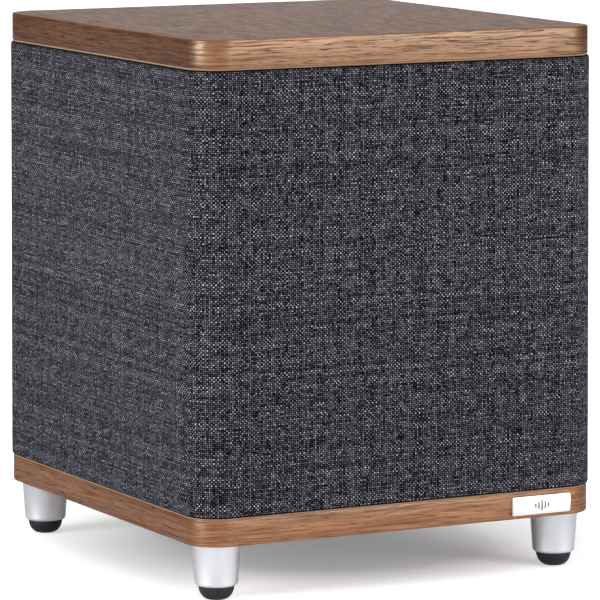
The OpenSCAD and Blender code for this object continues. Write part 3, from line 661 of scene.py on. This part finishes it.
def cloth_section(low_z, high_z, cut_z):
    """The cloth's closed section as (inset, height), up its outside and down its inside, and the heights."""
    marks = (low_z + ROLL_H, *cut_z, high_z - ROLL_H)
    heights = [z for a, b in zip(marks, marks[1:]) for z in spread(a, b, CLOTH_STEP)] + [marks[-1]]
    section = [(0, z) for z in heights]
    section += [(ROLL_R * (1 - a), marks[-1] + ROLL_H * b) for a, b in arc(1, 0, 90, ROLL_CUTS)[1:]]
    section += [(CLOTH_T, z) for z in reversed(heights)]
    section += [(ROLL_R * (1 - a), marks[0] + ROLL_H * b) for a, b in arc(1, 270, 360, ROLL_CUTS)[:-1]]
    return section, heights


def cloth_points(section, width, depth, cut_x):
    """The cloth's points, row by row. Its outside is drawn in where its slubs are thin."""
    radius = CORNER_R + (width - WIDTH) / 2
    points = []
    for inset, z in section:
        for x, y in outline(width - 2 * inset, depth - 2 * inset, radius - inset, CLOTH_STEP, cut_x):
            if inset < CLOTH_T:
                place = Vector((x, y, z))
                swell = noise.noise(place * 90) + 0.5 * noise.noise(place * 260)
                drop = SLUB_RELIEF * (0.75 - 0.5 * swell)
                if abs(x - AXIS.x) > cut_x:
                    x += (AXIS.x - x) / (width / 2) * drop
                y += (AXIS.y - y) / (depth / 2) * drop
            points.append((x, y, z))
    return points


def fabric_wrap():
    """The cloth sleeve: a closed shell with rolled edges and an opening behind the amplifier plate."""
    low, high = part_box("fabric_sleeve")
    plate_low, plate_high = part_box("amp_plate")
    width, depth = high.x - low.x, high.y - low.y
    cut_x = (plate_high.x - plate_low.x) / 2 - PLATE_LAP
    cut_z = (plate_low.z + PLATE_LAP, plate_high.z - PLATE_LAP)
    section, heights = cloth_section(low.z, high.z, cut_z)
    rows = len(section)
    ring = outline(width, depth, CORNER_R + (width - WIDTH) / 2, CLOTH_STEP, cut_x)
    count = len(ring)
    along = lengths(ring)
    first, last = (heights.index(z) for z in cut_z)  # rows at the opening's lower and upper edge
    half = len(spread(0, cut_x, CLOTH_STEP))  # columns from the middle of the back to the opening's side
    faces = []
    maps = []

    def inner(j):
        """The row inside the shell that lies behind row j."""
        return 2 * len(heights) + ROLL_CUTS - 1 - j

    def add(corners, coords, flip=False):
        """Adds a face and the places of its corners on the cloth."""
        faces.append(corners[::-1] if flip else corners)
        maps.extend(coords)

    def in_opening(i):
        """Whether column i starts a strip between the opening's sides."""
        return i < half or i >= count - half

    for j in range(rows):
        above = (j + 1) % rows
        beside = first <= j < last or inner(last) <= j < inner(first)
        z0, z1 = section[j][1], section[above][1]
        for i in range(count):
            if not (beside and in_opening(i)):
                coords = [(along[i], z0), (along[i + 1], z0), (along[i + 1], z1), (along[i], z1)]
                add(quad(j, above, i, count), coords)
    for i in filter(in_opening, range(count)):
        for j, flip in ((first, True), (last, False)):
            add(quad(j, inner(j), i, count), [(along[i], heights[j])] * 4, flip)
    for i, flip in ((half, False), (count - half, True)):
        for j in range(first, last):
            rows_round = (j, j + 1, inner(j + 1), inner(j))
            add([row * count + i for row in rows_round], [(along[i], heights[j])] * 4, flip)
    points = cloth_points(section, width, depth, cut_x)
    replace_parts(piece("fabric_wrap", points, faces, "wrap_fabric", maps=maps, sharp=60), "fabric_sleeve")


fabric_wrap()


# ---------------------------------------------------------------- feet and pads

FOOT_ROUND = 2.2 * MM
FOOT_TAPER = 1.95 * MM
FOOT_CHAMFER = 0.3 * MM
PAD_FLAT_R = 4 * MM


def foot(index, low, high):
    """Tapered turned foot with a rounded lower end and a fine chamfer under the panel."""
    centre = (low + high) / 2
    top_r = (high.x - low.x) / 2
    edge_r = top_r - FOOT_TAPER - FOOT_ROUND
    neck_r = top_r - FOOT_CHAMFER
    profile = [(0, low.z), (edge_r, low.z)]
    profile += [(edge_r + a, low.z + FOOT_ROUND + b) for a, b in arc(FOOT_ROUND, 280, 360, 8)]
    profile += [(neck_r, high.z - 2 * FOOT_CHAMFER), (top_r, high.z - FOOT_CHAMFER)]
    profile += [(neck_r, high.z), (0, high.z)]
    return lathe(f"foot_{index}", centre, profile, "satin_aluminium", sharp=50)


def foot_pad(index, low, high, foot_low):
    """Domed rubber pad with a flat that stands on the floor."""
    centre = (low + high) / 2
    swell = (high.x - low.x) / 2 - PAD_FLAT_R
    dome = [(PAD_FLAT_R + swell * a, low.z + foot_low * (1 + b)) for a, b in arc(1, 270, 360, 14)]
    profile = [(0, low.z), *dome, (0, foot_low)]
    return lathe(f"foot_pad_{index}", centre, profile, "black_rubber", sharp=60)


feet = [foot(i + 1, *box) for i, box in enumerate(islands("feet"))]
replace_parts(feet[0], "feet")
feet_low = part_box("feet")[0].z
pads = [foot_pad(i + 1, *box, feet_low) for i, box in enumerate(islands("foot_pads"))]
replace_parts(pads[0], "foot_pads")


# ---------------------------------------------------------------- parts of the driver that bend

SECTORS = 24
SECTOR_CUTS = 6


def thickened(line, thick):
    """Closed profile of even thickness round an open line."""
    upper, lower = [], []
    for i, (x, y) in enumerate(line):
        x0, y0 = line[max(0, i - 1)]
        x1, y1 = line[min(len(line) - 1, i + 1)]
        length = math.hypot(x1 - x0, y1 - y0)
        nx, ny = -(y1 - y0) / length * thick / 2, (x1 - x0) / length * thick / 2
        upper.append((x + nx, y + ny))
        lower.append((x - nx, y - ny))
    return upper + lower[::-1]


def bending_ring(name, profile, slot, node):
    """A turned ring in sectors, each reaching from the fixed frame outside to the cone inside."""
    size = len(profile)
    first = None
    for k in range(SECTORS):
        points = []
        for i in range(SECTOR_CUTS + 1):
            angle = math.tau * (k + i / SECTOR_CUTS) / SECTORS
            points += [circle(AXIS, radius, height, [angle])[0] for radius, height in profile]
        faces = [list(range(size))[::-1], list(range(SECTOR_CUTS * size, (SECTOR_CUTS + 1) * size))]
        for i in range(SECTOR_CUTS):
            for j in range(size):
                n = (j + 1) % size
                a, b = i * size, (i + 1) * size
                faces.append([a + j, a + n, b + n, b + j])
        made = piece(f"{name}_{k + 1:02d}", points, faces, slot, body=None, sharp=60)
        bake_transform(made)
        first = first or made
    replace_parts(first, node)


def surround():
    """Half-roll of rubber, bulging down, with a flat lip glued under the frame and the cone."""
    low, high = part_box("surround")
    thick = 0.9 * MM
    roll_r, middle_r = 5.5 * MM, 85.5 * MM
    inner_r, outer_r = 76 * MM, (high.x - low.x) / 2
    crease = 0.6 * MM  # from the roll to the flat of each lip
    lip = high.z - thick / 2
    line = [(outer_r, lip), (middle_r + roll_r + crease, lip)]
    line += [(middle_r + a, lip + b) for a, b in arc(roll_r, 0, -180, 16)]
    line += [(middle_r - roll_r - crease, lip), (inner_r, lip)]
    profile = thickened(line, thick)
    bending_ring("surround_part", profile, "surround_rubber", "surround")


def spider():
    """Corrugated cloth disc that centres the coil."""
    low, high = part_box("spider")
    outer_r = (high.x - low.x) / 2
    inner_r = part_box("coil_former")[1].x + 0.1 * MM
    middle = (low.z + high.z) / 2
    wave = (high.z - low.z) / 2 - 0.3 * MM
    first_r, last_r = inner_r + 3 * MM, outer_r - 5 * MM
    cuts = 48
    waves = 4
    line = [(outer_r, middle)]
    for i in range(cuts + 1):
        radius = last_r + (first_r - last_r) * i / cuts
        line.append((radius, middle + wave * math.sin(math.tau * waves * i / cuts)))
    line.append((inner_r, middle))
    profile = thickened(line, 0.5 * MM)
    bending_ring("spider_part", profile, "spider_cloth", "spider")


surround()
spider()


def bending_leads():
    """The two braided leads from the terminals to the cone, copied from their node into a piece of their
    own.
    """
    mesh = frame["nodes"]["tinsel_leads"].data.copy()
    mesh.name = "tinsel_lead_pair"
    mesh.materials.clear()
    mesh.materials.append(MATERIALS["copper_wire"])
    made = bpy.data.objects.new("tinsel_lead_pair", mesh)
    bpy.context.scene.collection.objects.link(made)
    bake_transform(made)
    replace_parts(made, "tinsel_leads")


bending_leads()


# ---------------------------------------------------------------- wadding

PAD_STEP = 8 * MM
CROWN = 6  # power of the pads' crown: the higher, the flatter their middle


def wadding_pad(index, low, high):
    """Fluffy fibre pad, crowned towards its middle and uneven, inside the box of its solid."""
    size = high - low
    thin = min(range(3), key=lambda i: size[i])
    wide = [i for i in range(3) if i != thin]
    cuts = [max(4, round(size[i] / PAD_STEP)) for i in wide]
    points = []
    for side in (1, -1):
        for a in range(cuts[0] + 1):
            for b in range(cuts[1] + 1):
                s, t = a / cuts[0], b / cuts[1]
                crown = (1 - abs(2 * s - 1) ** CROWN) ** 0.5 * (1 - abs(2 * t - 1) ** CROWN) ** 0.5
                point = Vector()
                point[wide[0]] = low[wide[0]] + size[wide[0]] * s
                point[wide[1]] = low[wide[1]] + size[wide[1]] * t
                fluff = 0.86 + 0.12 * noise.noise(point * 45)
                rise = size[thin] / 2 * max(0.08, crown * fluff)
                point[thin] = (low[thin] + high[thin]) / 2 + side * rise
                points.append(point)
    row = cuts[1] + 1
    sheet = (cuts[0] + 1) * row
    faces = []
    for a in range(cuts[0]):
        for b in range(cuts[1]):
            corner = a * row + b
            faces.append([corner, corner + row, corner + row + 1, corner + 1])
            faces.append([sheet + c for c in (corner, corner + 1, corner + row + 1, corner + row)])
    rim = [a * row for a in range(cuts[0] + 1)]
    rim += [cuts[0] * row + b for b in range(1, row)]
    rim += [a * row + cuts[1] for a in range(cuts[0] - 1, -1, -1)]
    rim += list(range(cuts[1] - 1, 0, -1))
    for a, b in zip(rim, rim[1:] + rim[:1]):
        faces.append([b, a, sheet + a, sheet + b])
    return piece(f"wadding_pad_{index}", points, faces, "fibre_wadding", sharp=80)


wadding_pads = [wadding_pad(i + 1, *box) for i, box in enumerate(islands("wadding"))]
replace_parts(wadding_pads[0], "wadding")


# ---------------------------------------------------------------- marks and rings at the back

DIAL_TICKS = 11
LONG_EVERY = 5  # every fifth mark from the lowest is long
DIAL_SWEEP = 300  # degrees from the lowest to the highest mark
LONG_TICK, SHORT_TICK = 3.4 * MM, 2.2 * MM
TICK_W = 0.6 * MM
TICK_GAP = 1.8 * MM  # between a knob and its marks
PAINT_T = 0.08 * MM
POINTER_W, POINTER_T = 0.8 * MM, 0.55 * MM
POINTER_SUNK = 0.6 * MM


def bar(centre, along, across, out, sizes):
    """Corners and faces of a small chamfered bar, from its centre, three directions and its three sizes."""
    long, wide, thick = sizes
    trim = 0.25 * thick
    points = []
    for level, inset in ((0, 0), (thick - trim, 0), (thick, trim)):
        for a, b in ((-1, -1), (1, -1), (1, 1), (-1, 1)):
            side = centre + along * a * (long / 2 - inset)
            points.append(side + across * b * (wide / 2 - inset) + out * level)
    faces = [[3, 2, 1, 0], [8, 9, 10, 11]]
    for base in (0, 4):
        for i in range(4):
            k = (i + 1) % 4
            faces.append([base + i, base + k, base + 4 + k, base + 4 + i])
    return points, faces


def bars(name, items, slot, body, material):
    """Several small bars as one piece."""
    points, faces = [], []
    for item in items:
        new_points, new_faces = bar(*item)
        faces += [[len(points) + c for c in face] for face in new_faces]
        points += new_points
    piece(name, points, faces, slot, body=body, sharp=20, material=material)


def dial(knob_node, body, name):
    """Painted scale on the plate round a knob, and the pointer line on the knob's face."""
    low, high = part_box(knob_node)
    centre = (low + high) / 2
    plate_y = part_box("amp_plate")[1].y
    radius = (high.x - low.x) / 2
    right, back, up = Vector((1, 0, 0)), Vector((0, 1, 0)), Vector((0, 0, 1))
    marks = []
    for i in range(DIAL_TICKS):
        angle = math.radians(DIAL_SWEEP * (i / (DIAL_TICKS - 1) - 0.5))
        way = Vector((math.sin(angle), 0, math.cos(angle)))
        side = Vector((math.cos(angle), 0, -math.sin(angle)))
        long = LONG_TICK if i % LONG_EVERY == 0 else SHORT_TICK
        place = Vector((centre.x, plate_y, centre.z)) + way * (radius + TICK_GAP + long / 2)
        marks.append((place, way, side, back, (long, TICK_W, PAINT_T)))
    bars(f"{name}_scale", marks, "plate_aluminium", "cabinet", "dial_paint")
    face = Vector((centre.x, high.y - POINTER_SUNK, centre.z + radius / 2 - POINTER_SUNK))
    pointer = (face, up, right, back, (radius - LONG_TICK, POINTER_W, POINTER_T))
    bars(f"{name}_pointer", [pointer], "knob_plastic", body, "dial_paint")


dial("level_knob", "level_control", "level")
dial("crossover_knob", "crossover_control", "crossover")


def socket_rings():
    """Coloured insulating ring at the root of each line socket."""
    plate_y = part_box("amp_plate")[1].y
    inner, outer, height = 4.3 * MM, 7.4 * MM, 1.1 * MM
    bevel = 0.3 * MM
    section = [(inner, 0), (outer, 0), (outer, height - bevel), (outer - bevel, height), (inner, height)]
    size = len(section)
    cuts = 48
    for i, (low, high) in enumerate(islands("line_sockets")):
        centre = (low + high) / 2
        points = []
        for k in range(cuts):
            angle = math.tau * k / cuts
            for radius, out in section:
                x, z = centre.x + radius * math.cos(angle), centre.z + radius * math.sin(angle)
                points.append((x, plate_y + out, z))
        faces = []
        for k in range(cuts):
            for j in range(size):
                a, b = k * size, ((k + 1) % cuts) * size
                n = (j + 1) % size
                faces.append([a + j, b + j, b + n, a + n])
        colour = ("white_insulator", "red_insulator")[i % 2]
        piece(f"socket_ring_{i + 1}", points, faces, "black_plastic", sharp=30, material=colour)


socket_rings()


# ---------------------------------------------------------------- finish of the CAD nodes

FLAT_ANGLE = 0.3  # faces that turn by less than this many degrees are joined before their edges are rounded
ROUND_ANGLE = 32  # edges that turn by more are rounded
CRISP_ANGLE = 40  # edges that turn by more are crisp on a node without rounded edges
# Width of the rounded edges in millimetres
SOFT_EDGES = {
    "amp_plate": 0.5,
    "amp_screws": 0.15,
    "badge": 0.35,
    "badge_inlay": 0.08,
    "trim_ring": 0.5,
    "driver_screws": 0.15,
    "level_knob": 0.25,
    "crossover_knob": 0.25,
    "mains_switch_case": 0.4,
    "mains_rocker": 0.4,
    "mains_inlet": 0.4,
    "inlet_pins": 0.2,
    "fuse_drawer": 0.25,
    "phase_slider": 0.2,
    "mode_slider": 0.2,
    "line_sockets": 0.2,
    "basket": 0.4,
}


def dress(node, slot):
    """Gives a CAD node its material and, where its edges are seen, a fine rounding."""
    part = frame["nodes"][node]
    mesh = part.data
    mesh.materials.clear()
    mesh.materials.append(MATERIALS[slot])
    for name in ("custom_normal", "sharp_face", "sharp_edge"):
        if name in mesh.attributes:
            mesh.attributes.remove(mesh.attributes[name])
    mesh.polygons.foreach_set("use_smooth", [True] * len(mesh.polygons))
    weld = part.modifiers.new("weld", "WELD")
    weld.merge_threshold = WELD_GAP
    if node in SOFT_EDGES:
        flat = part.modifiers.new("flat", "DECIMATE")
        flat.decimate_type = "DISSOLVE"
        flat.angle_limit = math.radians(FLAT_ANGLE)
        edge = part.modifiers.new("edge", "BEVEL")
        edge.width = SOFT_EDGES[node] * MM
        edge.segments = 2
        edge.limit_method = "ANGLE"
        edge.angle_limit = math.radians(ROUND_ANGLE)
        part.modifiers.new("even", "WEIGHTED_NORMAL").weight = 100
    else:
        split = part.modifiers.new("split", "EDGE_SPLIT")
        split.split_angle = math.radians(CRISP_ANGLE)


for entry in frame["record"]["subparts"]:
    dress(entry["node"], entry["material_slot"])


# ---------------------------------------------------------------- floor, light and camera

FLOOR_REACH = 14  # half the width of the floor, in metres
FLOOR_WHITE = (0.895, 0.905, 0.925)
FLOOR_PAINTED_GLOW = (0.19, 0.95)  # painted glow, for the camera only: weak near the object, where it leaves the shadow dark, and strong far off where it meets the background
GLOW_REACH = (0.097, 0.26)  # the distances in metres between which it rises
GLOW_SIDE = 0.03  # they are measured from a point this far to the right, where the shadow lies


def stage_floor():
    """Large pale floor under the pads. For the camera it glows with painted light, which fades out towards
    the object and so shapes the edge of its shadow.
    """
    s = Shader("stage_white")
    cloud = s.noise(s.place(), 3, 1)
    tint = s.scaled(FLOOR_WHITE, s.span(cloud, 0, 1, 0.99, 1.01))
    seen = s.tree.nodes.new("ShaderNodeLightPath").outputs["Is Camera Ray"]
    x, y, _ = s.split(s.place())
    x = s.math("SUBTRACT", x, GLOW_SIDE)
    away = s.math("SQRT", s.math("ADD", s.math("MULTIPLY", x, x), s.math("MULTIPLY", y, y)))
    # Painted light: the floor glows for the camera, less near the object, which paints the falloff of its
    # shadow
    painted_glow = s.math("MULTIPLY", seen, s.span(away, *GLOW_REACH, *FLOOR_PAINTED_GLOW))
    material = s.set(Base_Color=tint, Roughness=0.7, Emission_Color=(1, 1, 1), Emission_Strength=painted_glow)
    mesh = bpy.data.meshes.new("stage_floor")
    corners = [(x * FLOOR_REACH, y * FLOOR_REACH, 0) for x, y in ((-1, -1), (1, -1), (1, 1), (-1, 1))]
    mesh.from_pydata(corners, [], [[0, 1, 2, 3]])
    mesh.materials.append(material)
    floor = bpy.data.objects.new("stage_floor", mesh)
    bpy.context.scene.collection.objects.link(floor)


def softbox(name, place, target, width, height, power, colour=(1, 1, 1)):
    """Rectangular soft light that looks at a target."""
    light = bpy.data.lights.new(name, "AREA")
    light.shape = "RECTANGLE"
    light.size, light.size_y = width, height
    light.energy = power
    light.color = colour
    lamp = bpy.data.objects.new(name, light)
    lamp.location = place
    lamp.rotation_euler = (Vector(target) - Vector(place)).to_track_quat("-Z", "Y").to_euler()
    bpy.context.scene.collection.objects.link(lamp)


BRIGHT_SIDE = (-0.25, -0.82, 0.51)  # the surroundings are brightest to the front and above
SURROUND = (0.06, 0.44)  # their strength on the darkest and the brightest side
BACKGROUND = 1.05  # and where the camera sees them


def studio():
    """Plain surroundings, soft lights overhead, in front and behind, and a narrower one at the left."""
    world = bpy.data.worlds.new("studio")
    bpy.context.scene.world = world
    world.use_nodes = True
    nodes, links = world.node_tree.nodes, world.node_tree.links
    seen = nodes.new("ShaderNodeLightPath")
    where = nodes.new("ShaderNodeTexCoord")
    side = nodes.new("ShaderNodeVectorMath")
    side.operation = "DOT_PRODUCT"
    side.inputs[1].default_value = BRIGHT_SIDE
    links.new(where.outputs["Generated"], side.inputs[0])
    ramp = nodes.new("ShaderNodeMapRange")
    for socket, value in zip(ramp.inputs[1:5], (-1, 1, *SURROUND)):
        socket.default_value = value
    links.new(side.outputs["Value"], ramp.inputs[0])
    strength = nodes.new("ShaderNodeMix")  # between its sockets 2 and 3, by its socket 0
    strength.inputs[3].default_value = BACKGROUND
    links.new(seen.outputs["Is Camera Ray"], strength.inputs[0])
    links.new(ramp.outputs[0], strength.inputs[2])
    links.new(strength.outputs[0], nodes["Background"].inputs["Strength"])
    nodes["Background"].inputs["Color"].default_value = (1, 1, 1, 1)
    middle = (AXIS.x, AXIS.y, AXIS.z / 2)
    softbox("overhead", (-0.1, -0.6, 2.4), middle, 2.6, 2.6, 19)
    softbox("front", (1.40, -2.40, 0.90), middle, 1.5, 1.7, 50, (1, 0.99, 0.98))
    softbox("left", (-2.4, -0.30, 0.6), middle, 1.25, 1.1, 50, (0.97, 0.98, 1.0))
    softbox("behind", (1.3, 2.5, 0.45), middle, 1.8, 0.6, 5.2, (0.90, 0.95, 1.0))


CAMERA_PLACE = (-1.2960, -2.4810, 0.5282)  # from the cabinet's axis on the floor, in metres
CAMERA_TURN = 0.4826  # to the right, in radians
CAMERA_TILT = 0.0461  # downwards, in radians
CAMERA_LENS = 271.93
CAMERA_RISE = -0.6553  # the lens is shifted down, so that uprights stay nearly upright


def camera():
    """Long lens low at the front left. Its shift holds only there, so that other views stay centred."""
    data = bpy.data.cameras.new("camera")
    data.sensor_width = 36
    data.lens = CAMERA_LENS
    data.clip_end = 100
    rig = bpy.data.objects.new("camera", data)
    rig.location = (AXIS.x + CAMERA_PLACE[0], AXIS.y + CAMERA_PLACE[1], CAMERA_PLACE[2])
    rig.rotation_euler = (math.pi / 2 - CAMERA_TILT, 0, -CAMERA_TURN)
    bpy.context.scene.collection.objects.link(rig)
    bpy.context.scene.camera = rig
    driver = data.driver_add("shift_y").driver
    for name, channel in (("x", "LOC_X"), ("z", "LOC_Z")):
        variable = driver.variables.new()
        variable.name = name
        variable.type = "TRANSFORMS"
        variable.targets[0].id = rig
        variable.targets[0].transform_type = channel
    near_x = f"abs(x - {rig.location.x:.6f}) < 0.001"
    near_z = f"abs(z - {rig.location.z:.6f}) < 0.001"
    driver.expression = f"{CAMERA_RISE} if {near_x} and {near_z} else 0"


stage_floor()
studio()
camera()
bpy.context.scene.view_settings.view_transform = "Standard"
